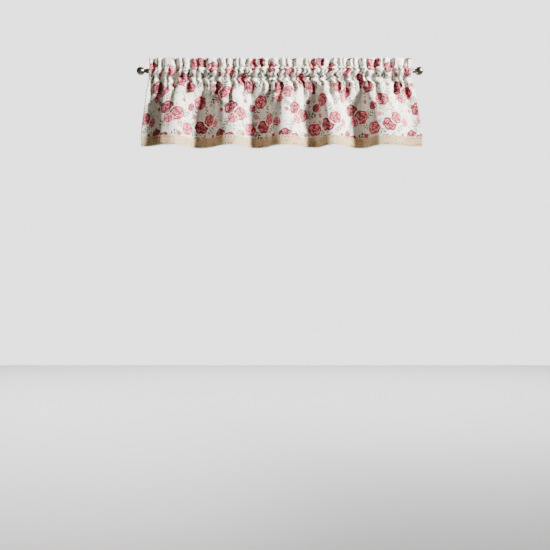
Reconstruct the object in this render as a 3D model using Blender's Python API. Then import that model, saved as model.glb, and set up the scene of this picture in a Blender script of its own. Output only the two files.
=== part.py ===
"""Gathered rod-pocket window valance with a lace border, on a curtain rod with two ball finials.

Metres, +Z up. The origin is the middle of the rod, +X runs along the rod to the right, and the front
faces -Y. The cloth is one flat panel. Its top is turned to the back and sewn down along two lines, which
leaves a frilled header above the rod and a pocket round it. Every height of the cloth is one wavy plan
curve: tight flutes at the rod, which merge into five broad soft folds at the hem.
"""

import math
from collections import namedtuple

import bmesh
import bpy
import numpy as np

# Driving dimensions of the cloth
FLAT_WIDTH = 1.524  # the panel before it is gathered, 60 inches
HEADER_TOP = 0.052  # height of the header's folded edge above the rod's middle
UPPER_STITCH = 0.0135  # the seam between header and pocket
LOWER_STITCH = -0.026  # the seam under the pocket
HEM = -0.300  # the cloth's bottom edge
CLOTH_THICKNESS = 0.0014
SEAM_GAP = 0.0003  # what is left free between two touching pieces

# Driving dimensions of the lace border
LACE_PITCH = 0.012  # one repeat along the border
LACE_TOP = -0.263
LACE_BOTTOM = -0.3045
LACE_THICKNESS = 0.0011
EYELET_WIDTH = 0.0052
SCALLOP_RISE = 0.0018  # the lower edge between two points of the scallop

# Driving dimensions of the rod and its finials
ROD_RADIUS = 0.008
ROD_BORE_RADIUS = 0.0072
ROD_HALF_LENGTH = 0.528
BALL_RADIUS = 0.0165
BALL_CENTRE = 0.0285  # from the rod's end to the ball's middle
COLLAR_RADIUS = 0.0098
COLLAR_LENGTH = 0.006
COLLAR_BEVEL = 0.0008
NECK_RADIUS = 0.0082
NECK_WAIST = 0.0006  # the neck's middle is this much slimmer
PLUG_LENGTH = 0.014
ROUND_STEPS = 20
BALL_STEPS = 7
SHARP_ANGLE = math.radians(35)

# The two rows of eyelets that are cut through the lace
EyeletRow = namedtuple("EyeletRow", "bottom top")
EYELET_ROWS = [EyeletRow(-0.2980, -0.2934), EyeletRow(-0.2746, -0.2694)]

# The cloth's columns stand one lace repeat apart, so that the lace lies flat on the cloth's facets
COLUMNS = round(FLAT_WIDTH / LACE_PITCH)
FINE_STEPS = 12  # integration steps in each column
LARGEST_TURN = 3.0  # radians, past any turn that the cloth makes
HALVINGS = 40  # of the search for the turn that gives the gathered width

# The broad folds at the hem, from left to right, by turns a trough behind the rod and a ridge before it.
# share is where each lies in the flat width, and strength how far the cloth turns on the way to it.
# The first and last trough lie past the cloth's edges.
BroadFold = namedtuple("BroadFold", "share strength")
BROAD_FOLDS = [
    BroadFold(-0.020, 0.90),
    BroadFold(0.120, 0.95),
    BroadFold(0.201, 1.05),
    BroadFold(0.329, 0.95),
    BroadFold(0.409, 1.10),
    BroadFold(0.512, 0.95),
    BroadFold(0.617, 0.80),
    BroadFold(0.666, 1.20),
    BroadFold(0.799, 1.15),
    BroadFold(0.859, 0.90),
    BroadFold(1.030, 0.75),
]

# The creases between the header's flutes, as shares of the gathered width, and how deep each is
Crease = namedtuple("Crease", "share depth")
CREASES = [
    Crease(0.015, 0.80),
    Crease(0.046, 1.00),
    Crease(0.101, 1.15),
    Crease(0.152, 0.80),
    Crease(0.208, 1.20),
    Crease(0.260, 0.95),
    Crease(0.313, 1.10),
    Crease(0.361, 0.90),
    Crease(0.395, 0.75),
    Crease(0.450, 1.20),
    Crease(0.494, 0.90),
    Crease(0.542, 1.00),
    Crease(0.582, 0.85),
    Crease(0.620, 1.05),
    Crease(0.683, 1.15),
    Crease(0.718, 0.80),
    Crease(0.752, 1.10),
    Crease(0.805, 1.20),
    Crease(0.863, 1.05),
    Crease(0.931, 1.20),
    Crease(0.973, 0.85),
]
FIRST_CREASE_PHASE = 0.6  # in turns, where the left edge stands before the first crease
CREASE_SHARPNESS = 0.35  # how much narrower a crease is than the flute beside it
PUCKER_UNEVENNESS = 0.16  # in turns, how far the puckers wander from their even places
PUCKER_WANDER_RATE = 0.37  # wanders per flute

# How the cloth is gathered at each height. broad, flute and pucker weigh the three kinds of fold, span
# is the gathered width, shift moves the middle to the right, and depth flattens the folds that the seams
# hold down.
Level = namedtuple("Level", "height broad flute pucker span shift depth")
LEVELS = [
    Level(0.052, 0.10, 1.00, 0.20, 1.050, 0.002, 1.00),
    Level(0.030, 0.05, 1.00, 0.30, 1.046, 0.002, 0.90),
    Level(0.0135, 0.00, 0.75, 0.60, 1.046, 0.002, 0.50),
    Level(0.000, 0.00, 0.65, 0.70, 1.048, 0.002, 0.50),
    Level(-0.026, 0.05, 0.80, 0.60, 1.052, 0.002, 0.50),
    Level(-0.040, 0.20, 0.90, 0.40, 1.058, 0.002, 0.85),
    Level(-0.060, 0.42, 0.75, 0.22, 1.066, 0.003, 1.00),
    Level(-0.095, 0.70, 0.42, 0.10, 1.080, 0.004, 1.00),
    Level(-0.140, 0.90, 0.20, 0.04, 1.094, 0.005, 1.00),
    Level(-0.190, 1.00, 0.08, 0.00, 1.110, 0.006, 1.00),
    Level(-0.240, 1.00, 0.04, 0.00, 1.126, 0.007, 1.00),
]
NARROW_WANDER = 0.030  # the header and pocket follow the straight rod this closely
WIDE_WANDER = 0.110  # and the hem's folds this closely
FREE_FALL = -0.120  # from here down the folds hang at the wide measure

# The room inside the pocket at each height: half of it, and how much of the folds' reach is added to
# keep the folds clear of the rod
Room = namedtuple("Room", "height half reach")
POCKET_ROOM = [
    Room(-0.0190, 0.0024, 0.3),
    Room(-0.0065, 0.0084, 1.0),
    Room(0.0036, 0.0086, 1.0),
    Room(0.0101, 0.0021, 1.0),
]

# Heights at which the cloth has a row of points
BODY_ROWS = [HEM, -0.240, -0.185, -0.135, -0.095, -0.062, -0.041]
HEADER_ROWS = [0.034]
HEADER_GAP = 0.0024  # between the middles of the header's two layers

PRINTED_COTTON = ("printed_cotton", (0.80, 0.79, 0.75), 0.9, 0.0)
COTTON_LACE = ("cotton_lace", (0.76, 0.68, 0.53), 0.95, 0.0)
BRUSHED_NICKEL = ("brushed_nickel", (0.48, 0.46, 0.43), 0.32, 1.0)


def clear_scene():
    for thing in list(bpy.data.objects):
        bpy.data.objects.remove(thing)


def material(recipe):
    """A plain Principled material from (name, colour, roughness, metallic)."""
    name, colour, roughness, metallic = recipe
    made = bpy.data.materials.get(name)
    if made:
        return made
    made = bpy.data.materials.new(name)
    made.use_nodes = True
    shader = made.node_tree.nodes["Principled BSDF"]
    shader.inputs["Base Color"].default_value = (*colour, 1.0)
    shader.inputs["Roughness"].default_value = roughness
    shader.inputs["Metallic"].default_value = metallic
    return made


def new_object(name, points, faces, recipe):
    """A smooth-shaded mesh object from points and faces, with its normals turned outwards."""
    mesh = bpy.data.meshes.new(name)
    mesh.from_pydata([tuple(point) for point in points], [], faces)
    shape = bmesh.new()
    shape.from_mesh(mesh)
    bmesh.ops.recalc_face_normals(shape, faces=shape.faces)
    shape.to_mesh(mesh)
    shape.free()
    mesh.shade_smooth()
    mesh.set_sharp_from_angle(angle=SHARP_ANGLE)
    mesh.materials.append(material(recipe))
    made = bpy.data.objects.new(name, mesh)
    bpy.context.scene.collection.objects.link(made)
    return made


def level_value(height, column):
    """One column of LEVELS, read at a height."""
    rows = sorted(LEVELS, key=lambda row: row.height)
    return float(np.interp(height, [row.height for row in rows], [getattr(row, column) for row in rows]))


def blurred(values, width, step):
    """A running mean by a bell curve whose standard deviation is width, with both ends mirrored."""
    reach = math.ceil(3 * width / step)
    bell = np.exp(-0.5 * (np.arange(-reach, reach + 1) * step / width) ** 2)
    before = 2 * values[0] - values[reach:0:-1]
    after = 2 * values[-1] - values[-2 : -reach - 2 : -1]
    padded = np.concatenate([before, values, after])
    return np.convolve(padded, bell / bell.sum(), mode="valid")


def fold_waves(share):
    """The broad, flute and pucker waves of the cloth's turning, at each share of the flat width."""
    turns = np.arange(len(BROAD_FOLDS)) * 0.5
    places = [fold.share for fold in BROAD_FOLDS]
    broad_turn = np.interp(share, places, turns)
    strength = np.interp(share, places, [fold.strength for fold in BROAD_FOLDS])
    broad = -strength * np.sin(2 * math.pi * broad_turn)

    places = [crease.share for crease in CREASES]
    ends = [0.0, *places, 1.0]
    crease_turn = [FIRST_CREASE_PHASE, *range(1, len(places) + 1), len(places) + FIRST_CREASE_PHASE]
    flute_turn = np.interp(share, ends, crease_turn)
    depth = np.interp(share, places, [crease.depth for crease in CREASES])
    sharpened = 2 * math.pi * flute_turn + CREASE_SHARPNESS * np.sin(2 * math.pi * flute_turn)
    flute = -depth * np.sin(sharpened)

    # Each flute splits into two puckers at the seams, unevenly from flute to flute
    uneven = PUCKER_UNEVENNESS * np.sin(2 * math.pi * PUCKER_WANDER_RATE * flute_turn)
    pucker = -np.sin(2 * math.pi * (2 * flute_turn + uneven))
    return broad, flute, pucker


def plan_curve(height):
    """The cloth's middle surface at one height: x and y at each column.

    The cloth keeps its length, so the curve is the sum of short steps along its turning angle. The angle is
    scaled until the curve spans the gathered width at this height.
    """
    steps = COLUMNS * FINE_STEPS
    step = FLAT_WIDTH / steps
    share = (np.arange(steps) + 0.5) / steps
    waves = fold_waves(share)
    weights = [level_value(height, kind) for kind in ("broad", "flute", "pucker")]
    turning = sum(weight * wave for weight, wave in zip(weights, waves))
    span = level_value(height, "span")
    low, high = 0.0, LARGEST_TURN
    for _ in range(HALVINGS):
        scale = (low + high) / 2
        if np.cos(scale * turning).sum() * step > span:
            low = scale
        else:
            high = scale
    angle = scale * turning
    x = np.concatenate([[0.0], np.cumsum(np.cos(angle)) * step])
    y = np.concatenate([[0.0], np.cumsum(np.sin(angle)) * step])
    x += level_value(height, "shift") - (x[0] + x[-1]) / 2
    fall = min(1.0, max(0.0, (HEADER_TOP - height) / (HEADER_TOP - FREE_FALL)))
    wander = NARROW_WANDER + (WIDE_WANDER - NARROW_WANDER) * fall**2
    y = (y - blurred(y, wander, step)) * level_value(height, "depth")
    return x[::FINE_STEPS], y[::FINE_STEPS]


def sheet_row(height, forward):
    """One row of the cloth's middle surface. forward moves it along -Y."""
    x, y = plan_curve(height)
    return np.stack([x, y - forward, np.full_like(x, height)], axis=1)


def cloth_rows():
    """The rows of the middle surface: from the hem up the front, over the header, down the pocket's back.

    It also gives the index of the lower seam's row, the upper seam's and the fold edge's.
    """
    half = CLOTH_THICKNESS / 2
    front = [sheet_row(height, 0.0) for height in BODY_ROWS]
    lower_seam = len(front)
    front.append(sheet_row(LOWER_STITCH, half))
    back = [sheet_row(LOWER_STITCH, -half)]
    for room in POCKET_ROOM:
        row = sheet_row(room.height, 0.0)
        clear = room.half + half
        front.append(row - [0.0, clear + room.reach * row[:, 1].max(), 0.0])
        back.append(row + [0.0, clear - room.reach * row[:, 1].min(), 0.0])
    upper_seam = len(front)
    front.append(sheet_row(UPPER_STITCH, half))
    back.append(sheet_row(UPPER_STITCH, -half))
    for height in HEADER_ROWS:
        front.append(sheet_row(height, HEADER_GAP / 2))
        back.append(sheet_row(height, -HEADER_GAP / 2))
    top = len(front)
    fold_edge = sheet_row(HEADER_TOP - half, 0.0)
    rows = np.array([*front, fold_edge, *reversed(back)])
    return rows, lower_seam, upper_seam, top


def surface_normals(rows):
    """Unit normals of a grid of points, on the side that faces the front along the first rows."""
    along = np.gradient(rows, axis=1)
    up = np.gradient(rows, axis=0)
    normals = np.cross(along, up)
    return normals / np.linalg.norm(normals, axis=2, keepdims=True)


def valance_cloth():
    """The panel with its header and pocket, as one solid with a tunnel for the rod."""
    rows, lower_seam, upper_seam, top = cloth_rows()
    normals = surface_normals(rows)
    outer = rows + normals * CLOTH_THICKNESS / 2
    inner = rows - normals * CLOTH_THICKNESS / 2
    last = len(rows) - 1
    points = np.concatenate([outer.reshape(-1, 3), inner.reshape(-1, 3)])
    width = COLUMNS + 1

    def out(row):
        return row * width

    def inn(row):
        return (len(rows) + row) * width

    def opposite(row):
        """The back layer's row at the height of a front row."""
        return last - (row - lower_seam)

    # The outer skin goes up the front, over the fold edge, down the back of the pocket and down the back
    skin = [out(row) for row in range(len(rows))] + [inn(row) for row in range(lower_seam - 1, -1, -1)]
    pocket = range(lower_seam + 1, upper_seam)
    tunnel = [inn(row) for row in pocket] + [inn(opposite(row)) for row in reversed(pocket)]
    faces = []
    for loop in (skin, tunnel):
        for first, second in zip(loop, loop[1:] + loop[:1]):
            for column in range(COLUMNS):
                faces.append((first + column, first + column + 1, second + column + 1, second + column))

    # Each side edge of the cloth is closed by a strip that leaves the tunnel open
    strip = []
    for row in range(lower_seam - 1):
        strip.append((out(row), out(row + 1), inn(row + 1), inn(row)))
    below = lower_seam - 1
    strip.append((out(below), out(lower_seam), out(last), inn(below)))
    for seam, near in ((lower_seam, lower_seam + 1), (upper_seam, upper_seam - 1)):
        strip.append((out(seam), out(near), inn(near)))
        strip.append((out(seam), inn(near), inn(opposite(near)), out(opposite(seam))))
        strip.append((inn(opposite(near)), out(opposite(near)), out(opposite(seam))))
    for row in list(pocket)[:-1]:
        for first, second in ((row, row + 1), (opposite(row), opposite(row + 1))):
            strip.append((out(first), out(second), inn(second), inn(first)))
    for row in range(upper_seam, top - 1):
        strip.append((out(row), out(row + 1), out(opposite(row + 1)), out(opposite(row))))
    strip.append((out(top - 1), out(top), out(opposite(top - 1))))
    for edge in (0, COLUMNS):
        faces += [tuple(corner + edge for corner in face) for face in strip]
    used = sorted({corner for face in faces for corner in face})
    renumbered = {old: new for new, old in enumerate(used)}
    faces = [tuple(renumbered[corner] for corner in face) for face in faces]
    return new_object("valance_cloth", points[used], faces, PRINTED_COTTON)


def lace_border():
    """The lace strip that is sewn over the hem, with its rows of eyelets cut through."""
    x, y = plan_curve(HEM)
    middle = np.stack([x, y, np.zeros_like(x)], axis=1)
    ahead = np.gradient(middle, axis=0)
    normals = np.cross(ahead, [0.0, 0.0, 1.0])
    normals /= np.linalg.norm(normals, axis=1, keepdims=True)
    back_offset = CLOTH_THICKNESS / 2 + SEAM_GAP
    offsets = (back_offset + LACE_THICKNESS, back_offset)

    # Each repeat has a column at its start and one after the eyelet
    eyelet_share = EYELET_WIDTH / LACE_PITCH
    places = np.sort(np.concatenate([np.arange(COLUMNS + 1), np.arange(COLUMNS) + eyelet_share]))
    heights = (LACE_BOTTOM, *[edge for eyelets in EYELET_ROWS for edge in eyelets], LACE_TOP)
    points = []
    for offset in offsets:
        shifted = middle + normals * offset
        for height in heights:
            for place in places:
                point = [np.interp(place, range(COLUMNS + 1), shifted[:, axis]) for axis in range(3)]
                between_points = height == LACE_BOTTOM and place != int(place)
                point[2] = height + (SCALLOP_RISE if between_points else 0.0)
                points.append(point)
    width = len(places)
    layer = width * len(heights)
    cells = len(heights) - 1
    filled = {(row, column) for row in range(cells) for column in range(width - 1)}
    filled -= {(2 * row + 1, 2 * repeat) for row in range(len(EYELET_ROWS)) for repeat in range(COLUMNS)}

    def corner(row, column, side):
        return side * layer + row * width + column

    faces = []
    for row, column in sorted(filled):
        ring = [(row, column), (row, column + 1), (row + 1, column + 1), (row + 1, column)]
        faces.append([corner(*place, 0) for place in ring])
        faces.append([corner(*place, 1) for place in reversed(ring)])
        neighbours = [(row - 1, column), (row, column + 1), (row + 1, column), (row, column - 1)]
        for side, beside in enumerate(neighbours):
            if beside not in filled:
                first, second = ring[side], ring[(side + 1) % 4]
                faces.append([corner(*second, 0), corner(*first, 0), corner(*first, 1), corner(*second, 1)])
    return new_object("lace_border", points, faces, COTTON_LACE)


def turned(name, profile, steps, recipe, closed_loop):
    """A solid turned about the X axis from (x, radius) points. A radius of zero is a point on the axis."""
    points, rings = [], []
    for x, radius in profile:
        if radius == 0.0:
            rings.append([len(points)] * steps)
            points.append((x, 0.0, 0.0))
            continue
        rings.append(list(range(len(points), len(points) + steps)))
        for turn in np.arange(steps) * 2 * math.pi / steps:
            points.append((x, radius * math.cos(turn), radius * math.sin(turn)))
    faces = []
    following = rings[1:] + rings[:1] if closed_loop else rings[1:]
    for first, second in zip(rings, following):
        for step in range(steps):
            after = (step + 1) % steps
            face = [first[step], first[after], second[after], second[step]]
            faces.append(list(dict.fromkeys(face)))
    return new_object(name, points, faces, recipe)


def curtain_rod():
    """A plain thin-walled tube, open at both ends for the finials' plugs."""
    left, right = -ROD_HALF_LENGTH, ROD_HALF_LENGTH
    profile = [
        (left, ROD_RADIUS),
        (right, ROD_RADIUS),
        (right, ROD_BORE_RADIUS),
        (left, ROD_BORE_RADIUS),
    ]
    return turned("curtain_rod", profile, ROUND_STEPS, BRUSHED_NICKEL, closed_loop=True)


def ball_finial(name, side):
    """A ball on a short neck and collar, with a plug that sits in the rod's bore.

    side is -1 at the rod's left end and 1 at its right end.
    """
    plug_radius = ROD_BORE_RADIUS - SEAM_GAP
    neck_start = SEAM_GAP + COLLAR_LENGTH
    neck_angle = math.pi - math.asin(NECK_RADIUS / BALL_RADIUS)
    neck_end = BALL_CENTRE + BALL_RADIUS * math.cos(neck_angle)
    profile = [
        (-PLUG_LENGTH, 0.0),
        (-PLUG_LENGTH, plug_radius),
        (SEAM_GAP, plug_radius),
        (SEAM_GAP, COLLAR_RADIUS - COLLAR_BEVEL),
        (SEAM_GAP + COLLAR_BEVEL, COLLAR_RADIUS),
        (neck_start - COLLAR_BEVEL, COLLAR_RADIUS),
        (neck_start, NECK_RADIUS),
        ((neck_start + neck_end) / 2, NECK_RADIUS - NECK_WAIST),
    ]
    for step in range(BALL_STEPS):
        angle = neck_angle * (1 - step / BALL_STEPS)
        profile.append((BALL_CENTRE + BALL_RADIUS * math.cos(angle), BALL_RADIUS * math.sin(angle)))
    profile.append((BALL_CENTRE + BALL_RADIUS, 0.0))
    placed = [(side * (ROD_HALF_LENGTH + x), radius) for x, radius in profile]
    return turned(name, placed, ROUND_STEPS, BRUSHED_NICKEL, closed_loop=False)


def main():
    clear_scene()
    valance_cloth()
    lace_border()
    curtain_rod()
    ball_finial("finial_left", -1)
    ball_finial("finial_right", 1)


main()
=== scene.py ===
import math
from collections import namedtuple

import bmesh
import bpy
import numpy as np
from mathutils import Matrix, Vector


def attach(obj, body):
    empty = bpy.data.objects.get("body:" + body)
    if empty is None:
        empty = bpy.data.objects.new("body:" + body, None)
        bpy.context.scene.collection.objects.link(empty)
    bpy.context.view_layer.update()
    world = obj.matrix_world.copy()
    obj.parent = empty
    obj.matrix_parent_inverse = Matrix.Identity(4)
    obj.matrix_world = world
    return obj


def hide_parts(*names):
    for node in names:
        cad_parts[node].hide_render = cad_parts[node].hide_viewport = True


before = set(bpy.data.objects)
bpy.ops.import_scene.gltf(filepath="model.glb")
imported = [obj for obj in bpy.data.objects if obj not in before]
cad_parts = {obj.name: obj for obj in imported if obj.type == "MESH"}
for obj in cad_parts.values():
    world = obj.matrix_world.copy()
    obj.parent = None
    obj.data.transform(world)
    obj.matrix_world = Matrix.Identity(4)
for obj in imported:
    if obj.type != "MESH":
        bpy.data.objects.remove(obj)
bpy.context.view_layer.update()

# The cloth, in metres. u runs along its flat width from the left edge, and v up from the hem's fold.
# Heights are above the rod's middle.
FLAT_WIDTH = 1.524
HEADER_TOP = 0.0517
TOP_BEND = 0.0035  # the part of the header where its two layers close to the folded edge
UPPER_STITCH = 0.0135
LOWER_STITCH = -0.026
BACK_END = -0.0335  # the back layer's lower edge
HEM = -0.300
ROD_RADIUS = 0.008
ROD_CLEARANCE = 0.0006
HALF_LAYER_GAP = 0.0006  # half the room between the header's layers at the seam, which grows above it
LAYER_GAP_GROWTH = 0.0008
BACK_OFFSET = 0.0009  # of the back layer's end, behind the front layer
SEAM_PULL = 0.0004
SEAM_REACH = 0.0016
UNEVENNESS = 0.0007
SHEET_THICKNESS = 0.00045
SIDE_TURN = 0.012
HEM_TURN = 0.022
TURN_GAP = 0.0009
BOTTOM_TURN_GAP = 1.1  # as a share of TURN_GAP
COLUMNS = 555
# Columns stand closer together within CLOSE of a crease or tuck, there CLOSER times as dense again
CLOSE = 0.010
CLOSER = 0.9
FINE_STEPS = 4000  # of the plan curve's integration
HALVINGS = 40  # of the search for the turning that gives the gathered width
LARGEST_SCALE = 6.0

# The flat cloth in its map: the printed face lies in the lower half and the reverse in the upper half
MAP_MARGIN = 0.014
MAP_WIDTH = 1.560
MAP_HEIGHT = 0.990
RIM_IN_MAP = 0.995

BroadFold = namedtuple("BroadFold", "share strength")
BROAD_FOLDS = [
    BroadFold(-0.020, 0.90),
    BroadFold(0.120, 0.95),
    BroadFold(0.201, 1.05),
    BroadFold(0.329, 0.95),
    BroadFold(0.409, 1.10),
    BroadFold(0.512, 0.95),
    BroadFold(0.617, 0.80),
    BroadFold(0.666, 1.20),
    BroadFold(0.799, 1.15),
    BroadFold(0.859, 0.90),
    BroadFold(1.030, 0.75),
]

# lean moves a crease along the header, from its foot to its top, as a share of the width
Crease = namedtuple("Crease", "share depth lean")
CREASES = [
    Crease(0.015, 0.80, 0.002),
    Crease(0.046, 1.00, 0.005),
    Crease(0.101, 1.15, -0.003),
    Crease(0.152, 0.80, 0.004),
    Crease(0.208, 1.20, 0.002),
    Crease(0.260, 0.95, -0.005),
    Crease(0.313, 1.10, 0.004),
    Crease(0.361, 0.90, 0.006),
    Crease(0.395, 0.75, -0.002),
    Crease(0.450, 1.20, 0.004),
    Crease(0.494, 0.90, -0.004),
    Crease(0.542, 1.00, 0.003),
    Crease(0.582, 0.85, 0.002),
    Crease(0.620, 1.05, -0.004),
    Crease(0.683, 1.15, 0.003),
    Crease(0.718, 0.80, -0.003),
    Crease(0.752, 1.10, 0.005),
    Crease(0.805, 1.20, -0.003),
    Crease(0.863, 1.05, 0.004),
    Crease(0.931, 1.20, -0.004),
    Crease(0.973, 0.85, 0.002),
]
FIRST_CREASE_PHASE = 0.6
CREASE_SHARPNESS = 0.35

# Smaller tucks between the creases: the share where each lies, its depth beside a crease's,
# and the heights between which it runs
Tuck = namedtuple("Tuck", "share depth top foot")
TUCKS = [
    Tuck(0.030, 0.40, 0.060, -0.030),
    Tuck(0.074, 0.55, 0.022, -0.075),
    Tuck(0.126, 0.50, 0.060, -0.045),
    Tuck(0.180, 0.60, 0.060, -0.060),
    Tuck(0.232, 0.45, 0.024, -0.085),
    Tuck(0.288, 0.55, 0.060, -0.040),
    Tuck(0.338, 0.50, 0.060, -0.070),
    Tuck(0.378, 0.35, 0.020, -0.060),
    Tuck(0.420, 0.60, 0.060, -0.050),
    Tuck(0.473, 0.45, 0.024, -0.080),
    Tuck(0.517, 0.50, 0.060, -0.045),
    Tuck(0.563, 0.40, 0.022, -0.070),
    Tuck(0.601, 0.45, 0.060, -0.055),
    Tuck(0.652, 0.60, 0.060, -0.065),
    Tuck(0.700, 0.40, 0.024, -0.050),
    Tuck(0.735, 0.45, 0.060, -0.075),
    Tuck(0.779, 0.60, 0.060, -0.050),
    Tuck(0.834, 0.55, 0.060, -0.070),
    Tuck(0.896, 0.60, 0.060, -0.045),
    Tuck(0.951, 0.50, 0.024, -0.080),
    Tuck(0.987, 0.35, 0.060, -0.040),
]
# Beside a crease of depth 1 the cloth turns back over GENTLE and comes forward again, steeper, over STEEP
STEEP = 0.0200
GENTLE = 0.0220
GENTLE_WEIGHT = 0.60
WALL_WEIGHT = 1.5
# The most that the cloth turns from the rod's direction, in radians
STEEPEST = 1.02
SLOT_STEEPEST = 1.54  # within SLOT of a crease's foot
SLOT = 0.0085
FREE_STEEPER = 1.2  # as much more below the gathers
# How the creases wander to the side with height: amplitude as a share of the width, and two rates
Sway = namedtuple("Sway", "amplitude by_height by_place")
SWAYS = [Sway(0.0006, 110, 700), Sway(0.0003, 240, 1300)]

# At each height: the weights of the four waves, the gathered width, its shift and the depth's scale
Level = namedtuple("Level", "height broad flute pucker pinch span shift depth")
LEVELS = [
    Level(0.052, 0.05, 1.00, 0.10, 0.06, 1.050, 0.002, 1.00),
    Level(0.026, 0.00, 1.00, 0.12, 0.10, 1.046, 0.002, 1.00),
    Level(0.0135, 0.00, 0.75, 0.16, 0.60, 1.046, 0.002, 0.90),
    Level(0.000, 0.00, 0.80, 0.20, 0.45, 1.048, 0.002, 0.80),
    Level(-0.026, 0.03, 0.75, 0.16, 0.60, 1.052, 0.002, 0.90),
    Level(-0.040, 0.15, 0.95, 0.20, 0.38, 1.058, 0.002, 1.00),
    Level(-0.060, 0.40, 0.85, 0.18, 0.28, 1.066, 0.003, 1.00),
    Level(-0.095, 0.70, 0.46, 0.10, 0.08, 1.080, 0.004, 1.00),
    Level(-0.140, 0.90, 0.20, 0.04, 0.00, 1.094, 0.005, 1.00),
    Level(-0.190, 1.00, 0.08, 0.00, 0.00, 1.110, 0.006, 1.00),
    Level(-0.240, 1.00, 0.04, 0.00, 0.00, 1.126, 0.007, 1.00),
]
# Any slower wandering of the curve than this many metres of cloth is taken out, at the header and lower down
NARROW_WANDER = 0.030
WIDE_WANDER = 0.110
PINCHES = 66  # of the finest gathers across the width
FREE_FALL = -0.120

# Soft troughs that run down from the pocket where the gathers pull: u where each starts
# and ends, the height of its foot, its depth and half its width
PULL_TOP = -0.030
Pull = namedtuple("Pull", "u_top u_foot foot depth width")
PULLS = [
    Pull(0.085, 0.070, -0.105, 0.0030, 0.007),
    Pull(0.205, 0.222, -0.125, 0.0028, 0.008),
    Pull(0.372, 0.362, -0.100, 0.0032, 0.007),
    Pull(0.498, 0.512, -0.135, 0.0026, 0.008),
    Pull(0.655, 0.640, -0.110, 0.0030, 0.007),
    Pull(0.770, 0.776, -0.120, 0.0026, 0.009),
    Pull(0.905, 0.918, -0.115, 0.0030, 0.007),
    Pull(1.052, 1.036, -0.140, 0.0034, 0.008),
    Pull(1.188, 1.199, -0.110, 0.0026, 0.008),
    Pull(1.300, 1.288, -0.125, 0.0030, 0.007),
    Pull(1.425, 1.437, -0.105, 0.0030, 0.008),
]


def smooth(value):
    value = np.clip(value, 0.0, 1.0)
    return value * value * (3 - 2 * value)


def level_value(height, column):
    rows = LEVELS[::-1]
    return float(np.interp(height, [row.height for row in rows], [getattr(row, column) for row in rows]))


def blurred(values, width, step):
    reach = math.ceil(3 * width / step)
    bell = np.exp(-0.5 * (np.arange(-reach, reach + 1) * step / width) ** 2)
    before = 2 * values[0] - values[reach:0:-1]
    after = 2 * values[-1] - values[-2 : -reach - 2 : -1]
    padded = np.concatenate([before, values, after])
    return np.convolve(padded, bell / bell.sum(), mode="valid")


def gathers(height):
    """The place, depth and strength of every crease and tuck at a height, where it has wandered to."""
    rise = min(1.0, max(0.0, height / HEADER_TOP))
    rows = [(crease.share + crease.lean * rise, crease.depth, 1.0) for crease in CREASES]
    # A tuck sets in over 10 mm at its top and fades over 30 mm at its foot
    for tuck in TUCKS:
        strength = smooth((tuck.top - height) / 0.010) * smooth((height - tuck.foot) / 0.030)
        rows.append((tuck.share, tuck.depth, float(strength)))
    return [(place + sway(place, height), depth, strength) for place, depth, strength in rows]


def crease_walls(share, height):
    """The two walls of every crease and tuck, as turning: a gentle one inwards, then a steep one outwards."""
    total = np.zeros_like(share)
    for place, depth, strength in gathers(height):
        away = (share - place) * FLAT_WIDTH / depth
        for side, length, weight in ((1, STEEP, 1.0), (-1, GENTLE, GENTLE_WEIGHT)):
            reach = side * away / length  # the turning is full from 0.12 of the wall to 0.65
            total -= side * strength * weight * smooth(reach / 0.12) * (1 - smooth((reach - 0.65) / 0.70))
    return total


def slots(share, height):
    """How near each place is to the foot of a crease or tuck, where the cloth may stand steepest."""
    near = np.zeros_like(share)
    for place, depth, strength in gathers(height):
        away = (share - place) * FLAT_WIDTH / (SLOT * depth)
        near = np.maximum(near, strength * np.exp(-(away**4)))
    return near


def sway(place, height):
    """How far a crease wanders to the side at a height, as a share of the width."""
    return sum(row.amplitude * math.sin(height * row.by_height + place * row.by_place) for row in SWAYS)


def column_places():
    """Where the cloth's columns stand in u: closer together beside a crease or tuck."""
    u = np.linspace(0.0, FLAT_WIDTH, 20001)
    near = np.zeros_like(u)
    for row in [*CREASES, *TUCKS]:
        near = np.maximum(near, np.exp(-(((u - row.share * FLAT_WIDTH) / CLOSE) ** 2)))
    count = np.cumsum(1 + CLOSER * near)
    return np.interp(np.linspace(count[0], count[-1], COLUMNS + 1), count, u)


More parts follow.
